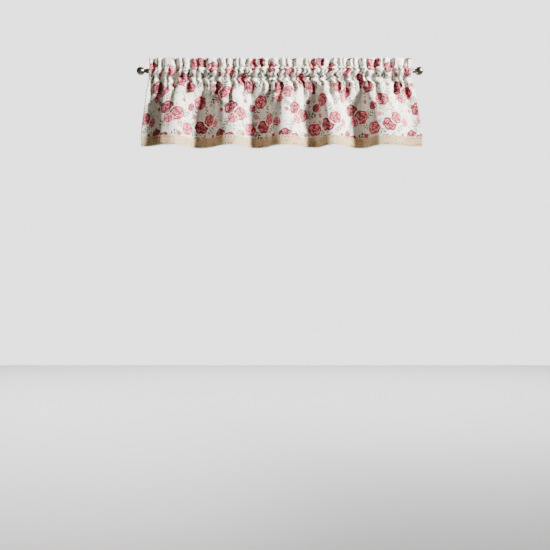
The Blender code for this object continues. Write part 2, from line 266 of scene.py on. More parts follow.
def fold_waves(share, height):
    """The four waves of the cloth's turning at each share of the flat width."""
    turns = np.arange(len(BROAD_FOLDS)) * 0.5
    places = [fold.share for fold in BROAD_FOLDS]
    broad_turn = np.interp(share, places, turns)
    strength = np.interp(share, places, [fold.strength for fold in BROAD_FOLDS])
    broad = -strength * np.sin(2 * math.pi * broad_turn)

    rise = min(1.0, max(0.0, height / HEADER_TOP))
    places = [crease.share + crease.lean * rise for crease in CREASES]
    ends = [0.0, *places, 1.0]
    crease_turn = [FIRST_CREASE_PHASE, *range(1, len(places) + 1), len(places) + FIRST_CREASE_PHASE]
    flute_turn = np.interp(share, ends, crease_turn)
    depth = np.interp(share, places, [crease.depth for crease in CREASES])
    sharpened = 2 * math.pi * flute_turn + CREASE_SHARPNESS * np.sin(2 * math.pi * flute_turn)
    flute = -depth * np.sin(sharpened)
    # Near the pocket the creases have walls of their own, and lower down they soften into waves
    narrow = 0.35 + 0.65 * float(smooth((height + 0.11) / 0.07))
    flute = (1 - narrow) * flute + narrow * (0.12 * flute + WALL_WEIGHT * crease_walls(share, height))
    uneven = 0.16 * np.sin(2 * math.pi * 0.37 * flute_turn)
    pucker = -np.sin(2 * math.pi * (2 * flute_turn + uneven))

    # The finest gathers, about 20 mm of flat cloth each, wander in width and depth
    wander = 0.9 * np.sin(2 * math.pi * 7.3 * share) + 0.6 * np.sin(2 * math.pi * 17.1 * share + 1.0)
    strength = 0.75 + 0.45 * np.sin(2 * math.pi * 11.7 * share + 0.5)
    pinch_turn = 2 * math.pi * (PINCHES * share + 0.40 * wander + 0.5 * np.sin(height * 90 + 40 * share))
    pinch = -strength * np.sin(pinch_turn + 0.7 * np.sin(pinch_turn))
    return broad, flute, pucker, pinch


def plan_curve(height):
    """x and y of the cloth's middle surface at one height, at each column."""
    step = FLAT_WIDTH / FINE_STEPS
    share = (np.arange(FINE_STEPS) + 0.5) / FINE_STEPS
    waves = fold_waves(share, height)
    weights = [level_value(height, kind) for kind in ("broad", "flute", "pucker", "pinch")]
    turning = sum(weight * wave for weight, wave in zip(weights, waves))
    span = level_value(height, "span")
    limit = STEEPEST + (SLOT_STEEPEST - STEEPEST) * slots(share, height)
    limit = limit + FREE_STEEPER * float(smooth((-0.05 - height) / 0.08))
    low, high = 0.0, LARGEST_SCALE
    for _ in range(HALVINGS):
        scale = (low + high) / 2
        if np.cos(limit * np.tanh(scale * turning / limit)).sum() * step > span:
            low = scale
        else:
            high = scale
    angle = limit * np.tanh(scale * turning / limit)
    x = np.concatenate([[0.0], np.cumsum(np.cos(angle)) * step])
    y = np.concatenate([[0.0], np.cumsum(np.sin(angle)) * step])
    x += level_value(height, "shift") - (x[0] + x[-1]) / 2
    fall = min(1.0, max(0.0, (HEADER_TOP - height) / (HEADER_TOP - FREE_FALL)))
    wander = NARROW_WANDER + (WIDE_WANDER - NARROW_WANDER) * fall**2
    y = (y - blurred(y, wander, step)) * level_value(height, "depth")
    along = np.linspace(0.0, FLAT_WIDTH, FINE_STEPS + 1)
    return np.interp(COLUMN_U, along, x), np.interp(COLUMN_U, along, y)


COLUMN_U = column_places()


def pocket_half(height):
    """Half the pocket's room at a height: the rod's circle and its tangents to the two seams."""
    radius = ROD_RADIUS + ROD_CLEARANCE
    for seam in (UPPER_STITCH, LOWER_STITCH):
        touch = radius**2 / seam
        if abs(height) > abs(touch) and height * seam > 0:
            return math.sqrt(radius**2 - touch**2) * (seam - height) / (seam - touch)
    return math.sqrt(radius**2 - height**2)


def sheet_row(height, side):
    """One row of the middle surface. side is 1 for the front layer and -1 for the back one."""
    x, y = plan_curve(height)
    if height >= UPPER_STITCH:
        gap = HALF_LAYER_GAP + LAYER_GAP_GROWTH * smooth((height - UPPER_STITCH) / 0.012)
        gap *= float(np.sqrt(np.clip((HEADER_TOP - height) / TOP_BEND, 0.0, 1.0)))
        y = y - side * gap
    elif height > LOWER_STITCH:
        half = pocket_half(height)
        reach = min(1.0, 1.6 * half / ROD_RADIUS)
        y = y - side * (half + ROD_CLEARANCE + reach * (y * side).max())
    elif side < 0:
        y = y + BACK_OFFSET
    else:
        y = y - HALF_LAYER_GAP * smooth((height - LOWER_STITCH) / 0.02 + 1)
    return np.stack([x, y, np.full_like(x, height)], axis=1)


def new_piece(name, points, faces, materials, face_material=None):
    mesh = bpy.data.meshes.new(name)
    mesh.from_pydata(points.tolist(), [], faces)
    for material in materials:
        mesh.materials.append(material)
    if face_material is not None:
        mesh.polygons.foreach_set("material_index", face_material)
    mesh.shade_smooth()
    made = bpy.data.objects.new(name, mesh)
    bpy.context.scene.collection.objects.link(made)
    return made


def grid_normals(rows):
    along = np.gradient(rows, axis=1)
    up = np.gradient(rows, axis=0)
    normals = np.cross(along, up)
    return normals / np.linalg.norm(normals, axis=2, keepdims=True)


def cloth_grid():
    """Rows of points on the cloth's middle surface with their v, from the hem's fold to the back's end."""
    # Rows stand closer together in the pocket and header than in the body
    body = np.linspace(HEM, -0.044, 28)
    pocket = np.linspace(-0.0385, UPPER_STITCH, 18)
    header = np.linspace(UPPER_STITCH, HEADER_TOP - TOP_BEND, 8)[1:]
    fold = HEADER_TOP - TOP_BEND * np.array([0.6, 0.25, 0.06])
    front = np.concatenate([body, pocket, header, fold])
    back = np.concatenate([fold[::-1], header[::-1], pocket[::-1][:-3], [BACK_END]])
    top = sheet_row(HEADER_TOP, 0)
    rows = [sheet_row(height, 1) for height in front] + [top] + [sheet_row(height, -1) for height in back]
    v = np.concatenate([front - HEM, [HEADER_TOP - HEM], 2 * HEADER_TOP - HEM - back])
    return np.array(rows), v


def build_cloth(materials):
    """The valance as one thin closed sheet, printed on its outer face, with its sides and hem turned in."""
    rows, v = cloth_grid()
    u = COLUMN_U
    normals = grid_normals(rows)

    # Soft troughs below the pocket, and a slow unevenness that no hanging cloth is without
    heights = rows[:, :, 2]
    front = (v <= -HEM)[:, None]
    dent = np.zeros(heights.shape)
    for pull in PULLS:
        along = np.clip((PULL_TOP - heights) / (PULL_TOP - pull.foot), 0.0, 1.0)
        middle = pull.u_top + (pull.u_foot - pull.u_top) * along
        across = np.exp(-(((u[None, :] - middle) / pull.width) ** 2))
        dent += pull.depth * across * np.sin(math.pi * along) ** 0.8 * front
    loose = smooth((-0.03 - heights) / 0.08) * smooth((heights + 0.262) / 0.06) * front
    slow = np.sin(u[None, :] * 31 + heights * 23) + np.sin(u[None, :] * 57 - heights * 37 + 2.0)
    rows = rows - normals * (dent - UNEVENNESS * loose * slow)[:, :, None]
    # Each seam pulls its layer in a little
    for seam in (UPPER_STITCH, LOWER_STITCH):
        rows[:, :, 1] += SEAM_PULL * np.exp(-(((heights - seam) / SEAM_REACH) ** 2)) * np.where(front, 1, -1)
    normals = grid_normals(rows)

    # The side hems and the bottom hem are turned to the inside
    turn = np.array([SIDE_TURN, SIDE_TURN * 0.6, SIDE_TURN * 0.25, SIDE_TURN * 0.06])
    lift = np.array([1.0, 1.0, 0.9, 0.45])
    room = np.where(heights[:, :1] > LOWER_STITCH - 0.01, 0.45, 1.0)

    def turned_columns(places):
        strip = []
        for place, part in zip(places, lift):
            after = int(np.clip(np.searchsorted(u, place), 1, COLUMNS))
            share = (place - u[after - 1]) / (u[after] - u[after - 1])
            point = rows[:, after - 1] * (1 - share) + rows[:, after] * share
            strip.append(point - normals[:, after] * TURN_GAP * part * room)
        return np.stack(strip, axis=1)

    left = turned_columns(turn)
    right = turned_columns(FLAT_WIDTH - turn)[:, ::-1]
    rows = np.concatenate([left, rows, right], axis=1)
    u = np.concatenate([-turn, u, FLAT_WIDTH + turn[::-1]])
    left_normals = normals[:, :1].repeat(len(turn), 1)
    right_normals = normals[:, -1:].repeat(len(turn), 1)
    wide_normals = np.concatenate([-left_normals, normals, -right_normals], axis=1)
    inside = np.concatenate([left_normals, normals, right_normals], axis=1)

    hem_turn = np.array([1.0, 0.7, 0.4, 0.15, 0.03])
    hem_lift = np.array([1.0, 1.0, 1.0, 0.8, 0.4])
    hem_rows = []
    for part, rise in zip(hem_turn, hem_lift):
        row = rows[0] - inside[0] * TURN_GAP * BOTTOM_TURN_GAP * rise
        row[:, 2] = HEM + HEM_TURN * part
        hem_rows.append(row)
    rows = np.concatenate([np.array(hem_rows), rows])
    v = np.concatenate([-HEM_TURN * hem_turn, v])
    wide_normals = np.concatenate([-wide_normals[:1].repeat(len(hem_turn), 0), wide_normals])

    offset = wide_normals * SHEET_THICKNESS / 2
    outer, inner = rows + offset, rows - offset
    count, width = rows.shape[:2]
    points = np.concatenate([outer.reshape(-1, 3), inner.reshape(-1, 3)])
    layer = count * width
    index = np.arange(layer).reshape(count, width)
    a, b = index[:-1, :-1].ravel(), index[:-1, 1:].ravel()
    c, d = index[1:, 1:].ravel(), index[1:, :-1].ravel()
    faces = np.concatenate([np.stack([a, b, c, d], 1), np.stack([d, c, b, a], 1) + layer])
    border = [*index[0, :], *index[1:, -1], *index[-1, -2::-1], *index[-2:0:-1, 0]]
    after = border[1:] + border[:1]
    rim = [(second, first, first + layer, second + layer) for first, second in zip(border, after)]
    kinds = [0] * len(a) + [1] * (len(a) + len(rim))
    piece = new_piece("valance_sheet", points, faces.tolist() + rim, materials, kinds)

    # Flat coordinates, with the rim's faces side by side along the map's top edge
    grid_u, grid_v = np.meshgrid(u, v)
    map_u = (grid_u + MAP_MARGIN) / MAP_WIDTH
    map_v = (grid_v + HEM_TURN + MAP_MARGIN) / MAP_HEIGHT
    flat = np.stack([map_u, map_v], axis=2).reshape(-1, 2)
    flat = np.concatenate([flat, flat + [0.0, 0.5]])
    layer_uv = piece.data.uv_layers.new(name="OFBake")
    loops = np.empty(len(piece.data.loops), dtype=np.int64)
    piece.data.loops.foreach_get("vertex_index", loops)
    values = flat[loops]
    start = 4 * 2 * len(a)
    rim_u = np.linspace(0.0, 0.99, len(rim))
    wide, tall = 0.6 / len(rim), 0.002
    for corner, (du, dv) in enumerate(((0.0, 0.0), (wide, 0.0), (wide, tall), (0.0, tall))):
        values[start + corner :: 4] = np.stack([rim_u + du, np.full(len(rim), RIM_IN_MAP + dv)], axis=1)
    layer_uv.uv.foreach_set("vector", values.ravel())
    return piece


# Node helpers
class Field:
    """A number or vector that a material works out at each point."""

    def __init__(self, net, socket):
        self.net = net
        self.socket = socket

    def __add__(self, other):
        return self.net.math("ADD", self, other)

    def __sub__(self, other):
        return self.net.math("SUBTRACT", self, other)

    def __mul__(self, other):
        return self.net.math("MULTIPLY", self, other)

    def __truediv__(self, other):
        return self.net.math("DIVIDE", self, other)

    __radd__ = __add__

    def __rsub__(self, other):
        return self.net.math("SUBTRACT", other, self)


class Net:
    """Makes the nodes of one tree."""

    def __init__(self, tree):
        self.tree = tree

    def put(self, socket, value):
        if isinstance(value, Field):
            self.tree.links.new(value.socket, socket)
        elif value is not None:
            socket.default_value = value

    def node(self, kind, inputs=(), output=0, **settings):
        made = self.tree.nodes.new(kind)
        for key, value in settings.items():
            setattr(made, key, value)
        for key, value in dict(inputs).items():
            self.put(made.inputs[key], value)
        return Field(self, made.outputs[output])

    def math(self, operation, a, b=None):
        return self.node("ShaderNodeMath", {0: a, 1: b}, operation=operation)

    def absolute(self, value):
        return self.math("ABSOLUTE", value)

    def vector(self, operation, a, b=None, c=None, output=0):
        return self.node("ShaderNodeVectorMath", {0: a, 1: b, 2: c}, output, operation=operation)

    def split(self, vector):
        made = self.tree.nodes.new("ShaderNodeSeparateXYZ")
        self.put(made.inputs[0], vector)
        return [Field(self, made.outputs[axis]) for axis in range(3)]

    def join(self, x, y, z):
        return self.node("ShaderNodeCombineXYZ", {0: x, 1: y, 2: z})

    def sine(self, value):
        return self.math("SINE", value)

    def step(self, value, low, high):
        """0 below low and 1 above high, with a soft passage. It falls instead if low is above high."""
        inputs = {"Value": value, "From Min": low, "From Max": high}
        return self.node("ShaderNodeMapRange", inputs, interpolation_type="SMOOTHSTEP")

    def mix(self, share, first, second):
        """From the first colour to the second."""
        return self.node("ShaderNodeMix", {0: share, 6: first, 7: second}, 2, data_type="RGBA")

    def mix_vector(self, share, first, second):
        return self.node("ShaderNodeMix", {0: share, 4: first, 5: second}, 1, data_type="VECTOR")

    def noise(self, vector, scale, detail=2.0, output=0):
        return self.node("ShaderNodeTexNoise", {"Vector": vector, "Scale": scale, "Detail": detail}, output)

    def bump(self, level, strength, distance):
        return self.node("ShaderNodeBump", {"Strength": strength, "Distance": distance, "Height": level})


def paint(red, green, blue):
    """A colour from the 0 to 255 values that it shows."""
    linear = []
    for value in (red, green, blue):
        share = value / 255
        linear.append(share / 12.92 if share <= 0.04045 else ((share + 0.055) / 1.055) ** 2.4)
    return (*linear, 1.0)


# The print: one repeat of generic roses, buds and leaf sprigs in a layout of its own. u and v are in
# millimetres in the repeat, size is half the motif's length and turn its direction in degrees. Later rows lie
# over earlier ones.
TILE_U = 0.343
TILE_V = 0.345
Motif = namedtuple("Motif", "u v size turn tone")
# Buds and then roses, whose tone runs from 0, burgundy, to 1, pale pink
ROSES = [
    Motif(142, 244, 9, 10, 0.23),
    Motif(222, 180, 9, 190, 0.15),
    Motif(104, 140, 8, -20, 0.31),
    Motif(282, 122, 9, 20, 0.70),
    Motif(206, 46, 9, 180, 0.20),
    Motif(40, 40, 8, 15, 0.10),
    Motif(340, 244, 8, 165, 0.27),
    Motif(66, 284, 8, -10, 0.20),
    Motif(60, 232, 28, 15, 0.04),
    Motif(106, 212, 27, 190, 0.24),
    Motif(72, 187, 19, -20, 0.72),
    Motif(204, 262, 27, 170, 0.22),
    Motif(242, 236, 25, -10, 0.06),
    Motif(148, 146, 28, 10, 0.02),
    Motif(192, 124, 28, 195, 0.30),
    Motif(156, 104, 19, 160, 0.84),
    Motif(302, 182, 26, 20, 0.36),
    Motif(262, 158, 16, 200, 0.10),
    Motif(318, 82, 27, -15, 0.10),
    Motif(12, 108, 25, 175, 0.37),
    Motif(250, 70, 26, 5, 0.51),
    Motif(98, 38, 27, 185, 0.00),
    Motif(142, 24, 25, 20, 0.23),
    Motif(60, 92, 17, 165, 0.90),
    Motif(128, 298, 21, 10, 0.76),
    Motif(22, 312, 24, 200, 0.14),
    Motif(264, 322, 26, -20, 0.34),
    Motif(302, 334, 21, 180, 0.05),
]
# Leaf sprigs, whose tone runs from sage to dark grey-green
SPRIGS = [
    Motif(26, 262, 30, 140, 1.0),
    Motif(96, 252, 26, 60, 0.9),
    Motif(136, 192, 26, -30, 0.7),
    Motif(34, 180, 26, 220, 0.8),
    Motif(172, 242, 28, 210, 0.9),
    Motif(222, 210, 25, -80, 0.8),
    Motif(284, 246, 28, 10, 1.0),
    Motif(330, 210, 26, 60, 0.6),
    Motif(282, 146, 24, 250, 0.8),
    Motif(112, 160, 24, 150, 0.5),
    Motif(232, 126, 28, 20, 0.9),
    Motif(128, 82, 26, 240, 0.7),
    Motif(338, 140, 26, 100, 0.9),
    Motif(290, 48, 28, -50, 1.0),
    Motif(216, 80, 24, 160, 0.6),
    Motif(28, 66, 26, 210, 0.8),
    Motif(66, 20, 30, 200, 1.0),
    Motif(180, 44, 26, 40, 0.9),
    Motif(236, 16, 28, 0, 1.0),
    Motif(334, 24, 28, 100, 0.9),
    Motif(94, 310, 30, 20, 1.0),
    Motif(176, 308, 31, 30, 1.0),
    Motif(326, 286, 31, 190, 1.0),
    Motif(228, 290, 30, 150, 1.0),
]
# Broad pale leaves that lie under the roses
LEAVES = [
    Motif(86, 256, 16, 60, 0.3),
    Motif(26, 214, 17, 210, 0.5),
    Motif(132, 226, 15, 30, 0.2),
    Motif(98, 176, 15, -50, 0.6),
    Motif(178, 282, 16, 130, 0.4),
    Motif(268, 216, 16, -50, 0.5),
    Motif(330, 166, 16, -20, 0.4),
    Motif(276, 202, 15, 140, 0.2),
    Motif(118, 160, 16, 170, 0.5),
    Motif(170, 170, 15, 60, 0.3),
    Motif(222, 138, 16, 30, 0.2),
    Motif(136, 88, 15, 230, 0.6),
    Motif(36, 124, 16, 40, 0.4),
    Motif(296, 62, 16, 220, 0.2),
    Motif(276, 92, 16, 50, 0.6),
    Motif(226, 52, 15, 220, 0.3),
    Motif(122, 58, 16, 60, 0.3),
    Motif(72, 14, 15, 200, 0.6),
    Motif(170, 30, 16, 0, 0.4),
    Motif(148, 312, 15, 40, 0.3),
    Motif(46, 328, 15, 50, 0.4),
    Motif(286, 302, 15, -60, 0.4),
]
LEAF_BREADTH = 0.52
SPRIG_BREADTH = 0.60
# Roses are printed wider than high, as the gathers narrow them
ROSE_BREADTH = 1.20
ROSE_HEIGHT = 1.06
ROSE_REACH = 1.06  # with the halo round each rose
SPECK_CELL = 0.0215
FULL_TURN = 6.283
# The tone travels in z, scaled down so that it hardly counts in a distance
TONE_PACKING = 0.01
MOTIFS_AT_ONCE = 10


def afterwards(net, place, other):
    """The same place, worked out once other is known, so that a long table of motifs fits in one shader."""
    return net.vector("MULTIPLY_ADD", other, (0.0, 0.0, 0.0), place)


def nearest_motif(net, place, table, reach, scales):
    """Local coordinates of the last motif in the table that covers a point, with its tone in z."""
    chosen = net.join(9.0, 9.0, 0.0)
    for number, motif in enumerate(table):
        if number % MOTIFS_AT_ONCE == MOTIFS_AT_ONCE - 1:
            place = afterwards(net, place, chosen)
        u, v = motif.u / 1000, motif.v / 1000
        half_u, half_v = (motif.size * scale / 1000 for scale in scales)
        highest = (u + TILE_U / 2, v + TILE_V / 2, 1.0)
        lowest = (u - TILE_U / 2, v - TILE_V / 2, -1.0)
        near = net.vector("WRAP", place, highest, lowest)
        local = net.node(
            "ShaderNodeMapping",
            {
                "Vector": near,
                "Location": (u, v, -motif.tone * TONE_PACKING),
                "Rotation": (0.0, 0.0, math.radians(motif.turn)),
                "Scale": (half_u, half_v, 1.0),
            },
            vector_type="TEXTURE",
        )
        distance = net.vector("LENGTH", local, output=1)
        chosen = net.mix_vector(net.math("LESS_THAN", distance, reach), chosen, local)
    return chosen


def petal_ring(net, radius, angle, count, phase, size, paints, under):
    """A ring of rounded petals over what is under it, each with a dark foot and a pale rim."""
    shade, body, light = paints
    turn = net.math("FRACT", angle * (count / (2 * math.pi)) + phase) - 0.5
    lobe = (1.0 - turn * turn * 0.6) * size
    depth = radius / lobe
    petal = net.mix(net.step(depth, 0.45, 0.80), shade, body)
    rim = net.step(depth, 0.72, 0.88) * net.step(net.absolute(turn), 0.42, 0.20)
    petal = net.mix(rim * 0.85, petal, light)
    petal = net.mix(net.step(depth, 0.95, 1.0) * 0.5, petal, body)
    petal = net.mix(net.step(net.absolute(turn), 0.40, 0.49) * 0.8, petal, shade)
    return net.mix(net.step(depth, 1.02, 0.97), under, petal)


def rose_colour(net, local, ground):
    """Draws one rose in local coordinates whose outline is at 1, over the ground colour."""
    x, y, packed = net.split(local)
    tone = packed / TONE_PACKING
    wobble = net.noise(net.join(x, y, tone * 7), 2.6) - 0.5
    radius = net.math("SQRT", x * x + y * y) + wobble * 0.20
    angle = net.math("ARCTAN2", y, x) + wobble * 0.8

    body = net.mix(tone, paint(84, 2, 20), paint(200, 42, 74))
    shade = net.mix(tone, paint(30, 0, 8), paint(124, 6, 32))
    light = net.mix(tone, paint(222, 98, 120), paint(253, 220, 224))
    side = net.step(x + y * 0.4, -0.6, 0.9) * 0.55
    outer = (shade, net.mix(side, body, shade), net.mix(0.78 + side * 0.22, light, body))
    inner = (shade, body, light)

    halo = net.step(radius, ROSE_REACH, 0.98) * 0.55
    colour = net.mix(halo, ground, paint(238, 214, 208))
    colour = petal_ring(net, radius, angle, 6.0, tone * 3.0, 0.98, outer, colour)
    colour = petal_ring(net, radius, angle, 4.0, tone * 5.0 + 0.4, 0.70, inner, colour)
    colour = petal_ring(net, radius, angle, 3.0, tone * 2.0 + 0.1, 0.45, inner, colour)
    swirl = net.math("FRACT", radius * 4.5 + angle / (2 * math.pi))
    heart = net.mix(net.step(swirl, 0.55, 0.75), shade, light)
    return net.mix(net.step(radius, 0.24, 0.18), colour, heart)


def sprig_colour(net, local, ground):
    """Draws one leaf sprig in local coordinates that run along its stem, over the ground colour."""
    x, y, packed = net.split(local)
    tone = packed / TONE_PACKING
    bend = x * x * 0.12 - 0.06
    across = y * SPRIG_BREADTH - bend
    slim = 1.0 - net.absolute(x) * 0.35
    pitch = 0.54
    beside = net.step(across, -0.001, 0.001)
    stagger = net.math("FRACT", (x + beside * pitch / 2) / pitch)
    along = (stagger - 0.5) * pitch
    away = net.absolute(across) / slim - 0.23
    cosine, sine = math.cos(math.radians(50)), math.sin(math.radians(50))
    length = (along * cosine + away * sine) / 0.29
    breadth = (away * cosine - along * sine) / 0.125
    leaf = net.step(length * length + breadth * breadth, 1.0, 0.7)
    vein = net.step(net.absolute(breadth), 0.0, 0.25)
    stem = net.step(net.absolute(across), 0.022, 0.010)
    inside = net.step(net.absolute(x), 0.97, 0.90)
    pale = net.mix(tone, paint(108, 120, 94), paint(26, 32, 28))
    deep = net.mix(tone, paint(56, 68, 48), paint(9, 13, 11))
    colour = net.mix(vein, deep, pale)
    cover = net.math("MAXIMUM", leaf, stem) * inside
    return net.mix(cover * 0.92, ground, colour)


def leaf_colour(net, local, ground):
    """Draws one broad leaf in local coordinates that run along it, over the ground colour."""
    x, y, packed = net.split(local)
    tone = packed / TONE_PACKING
    taper = 1.0 - x * x
    edge = net.absolute(y) - net.math("SQRT", net.math("MAXIMUM", taper, 0.0)) * (0.82 - x * 0.22)
    cover = net.step(edge, 0.05, -0.12)
    slant = net.math("FRACT", x * 2.6 + net.absolute(y) * 1.3)
    veins = net.step(net.absolute(slant - 0.5), 0.40, 0.5)
    middle = net.step(net.absolute(y), 0.10, 0.02)
    pale = net.mix(tone, paint(184, 200, 176), paint(128, 144, 114))
    deep = net.mix(tone, paint(142, 160, 132), paint(78, 94, 70))
    colour = net.mix(net.step(y, -0.5, 0.6), deep, pale)
    colour = net.mix(net.math("MAXIMUM", veins * 0.35, middle * 0.6), colour, deep)
    return net.mix(cover * 0.85, ground, colour)


def print_group():
    """A node group that gives the printed cloth's colour from its flat coordinates in metres."""
    tree = bpy.data.node_groups.new("rose_print", "ShaderNodeTree")
    tree.interface.new_socket("Place", in_out="INPUT", socket_type="NodeSocketVector")
    tree.interface.new_socket("Color", in_out="OUTPUT", socket_type="NodeSocketColor")
    net = Net(tree)
    place = net.node("NodeGroupInput")
    drift = net.vector("SUBTRACT", net.noise(place, 34.0, output=1), (0.5, 0.5, 0.5))
    wavering = net.vector("MULTIPLY_ADD", drift, (0.0016, 0.0016, 0.0), place)

    # The ground: warm white with faint washes of sage and blush
    wash = net.noise(place, 26.0, 3.0)
    blush = net.noise(net.vector("ADD", place, (3.0, 1.0, 0.0)), 19.0)
    ground = net.mix(net.step(wash, 0.48, 0.66) * 0.65, paint(222, 218, 209), paint(182, 197, 178))
    ground = net.mix(net.step(blush, 0.58, 0.72) * 0.35, ground, paint(218, 198, 190))

    # Small single leaves on a jittered grid
    scaled = net.node("ShaderNodeVectorMath", {0: wavering, "Scale": 1 / SPECK_CELL}, operation="SCALE")
    corner = net.vector("FLOOR", scaled)
    jitter = net.node("ShaderNodeTexWhiteNoise", {"Vector": corner}, "Color", noise_dimensions="2D")
    middle = net.vector("MULTIPLY_ADD", jitter, (0.5, 0.5, 0.0), (0.25, 0.25, 0.0))
    local = net.vector("SUBTRACT", net.vector("FRACTION", scaled), middle)
    x, y, _ = net.split(local)
    chance, other, shade = net.split(jitter)
    angle = shade * FULL_TURN
    cosine, sine = net.math("COSINE", angle), net.sine(angle)
    length = (x * cosine + y * sine) / 0.27
    breadth = (y * cosine - x * sine) / 0.11
    speck = net.step(length * length + breadth * breadth, 1.0, 0.6) * net.math("GREATER_THAN", chance, 0.45)
    ground = net.mix(speck * 0.92, ground, net.mix(other, paint(96, 108, 84), paint(22, 27, 22)))

    sprigs = nearest_motif(net, wavering, SPRIGS, 1.0, (1.0, SPRIG_BREADTH))
    wavering = afterwards(net, wavering, sprigs)
    leaves = nearest_motif(net, wavering, LEAVES, 1.0, (1.0, LEAF_BREADTH))
    wavering = afterwards(net, wavering, leaves)
    roses = nearest_motif(net, wavering, ROSES, ROSE_REACH, (ROSE_BREADTH, ROSE_HEIGHT))
    colour = sprig_colour(net, sprigs, ground)
    colour = leaf_colour(net, leaves, colour)
    colour = rose_colour(net, roses, colour)
    result = tree.nodes.new("NodeGroupOutput")
    net.put(result.inputs["Color"], colour)
    return tree


def new_material(name, roughness, **settings):
    material = bpy.data.materials.new(name)
    material.use_nodes = True
    net = Net(material.node_tree)
    shader = material.node_tree.nodes["Principled BSDF"]
    shader.inputs["Roughness"].default_value = roughness
    for key, value in settings.items():
        shader.inputs[key.replace("_", " ")].default_value = value
    return material, net, shader


def flat_place(net, upper_half):
    """Flat cloth coordinates in metres, read back from the map."""
    flat = net.node("ShaderNodeUVMap", uv_map="OFBake")
    scale = (MAP_WIDTH, MAP_HEIGHT, 0.0)
    shift = (-MAP_MARGIN, -HEM_TURN - MAP_MARGIN - (0.5 * MAP_HEIGHT if upper_half else 0.0), 0.0)
    return net.vector("MULTIPLY_ADD", flat, scale, shift)


WEAVE_PITCH = 0.0008
WEAVE_HEIGHT = 0.00018
STITCH_LENGTH = 0.0030
HALF_THREAD = 0.0004


def weave_bump(net, place, extra):
    """The weave's two sets of threads with a few thicker ones, and what is sewn on it."""
    u, v, _ = net.split(place)
    along = net.sine(u * (2 * math.pi / WEAVE_PITCH))
    across = net.sine(v * (2 * math.pi / WEAVE_PITCH))
    slub = net.noise(net.vector("MULTIPLY", place, (60.0, 900.0, 0.0)), 1.0)
    return net.bump(along * across * 0.5 + slub * 0.5 + extra, 0.6, WEAVE_HEIGHT)


def stitches(net, place, heights):
    """Rows of machine stitches along u at the given heights: 1 on the thread."""
    u, v, _ = net.split(place)
    dash = net.math("FRACT", u / STITCH_LENGTH)
    on = net.step(dash, 0.04, 0.12) * net.step(dash, 0.96, 0.88)
    total = None
    for height in heights:
        row = net.step(net.absolute(v - height), HALF_THREAD * 1.5, HALF_THREAD * 0.6) * on
        total = row if total is None else net.math("MAXIMUM", total, row)
    return total


def cloth_materials():
    """The printed face and the paler reverse."""
    group = print_group()
    # The back layer's seams mirror the front's about the header's top
    seams = [UPPER_STITCH - HEM, LOWER_STITCH - HEM]
    seams += [2 * (HEADER_TOP - HEM) - seam for seam in seams]
    made = []
    for name, reverse in (("printed_cotton_face", False), ("printed_cotton_reverse", True)):
        material, net, shader = new_material(
            name, 0.88, Specular_IOR_Level=0.25, Sheen_Weight=0.15, Sheen_Roughness=0.5
        )
        place = flat_place(net, reverse)
        colour = net.node("ShaderNodeGroup", {"Place": place}, "Color", node_tree=group)
        if reverse:
            colour = net.mix(0.72, colour, paint(226, 220, 208))
        thread = stitches(net, place, seams)
        colour = net.mix(thread * 0.8, colour, paint(232, 226, 212))
        mottle = net.noise(place, 900.0)
        colour = net.mix(net.step(mottle, 0.3, 0.8) * 0.10, colour, paint(190, 182, 168))
        net.put(shader.inputs["Base Color"], colour)
        net.put(shader.inputs["Normal"], weave_bump(net, place, thread * 2))
        made.append(material)
    return made


# The lace border, in metres
PITCH = 0.012
REPEATS = 127
LACE_FOOT = -0.3043  # the height at which the pattern's v is 0
LACE_LIFT = 0.0014  # from the cloth's middle surface to the cords' middle
LACE_END_GAP = 0.0003
CORD_FLATNESS = 0.62


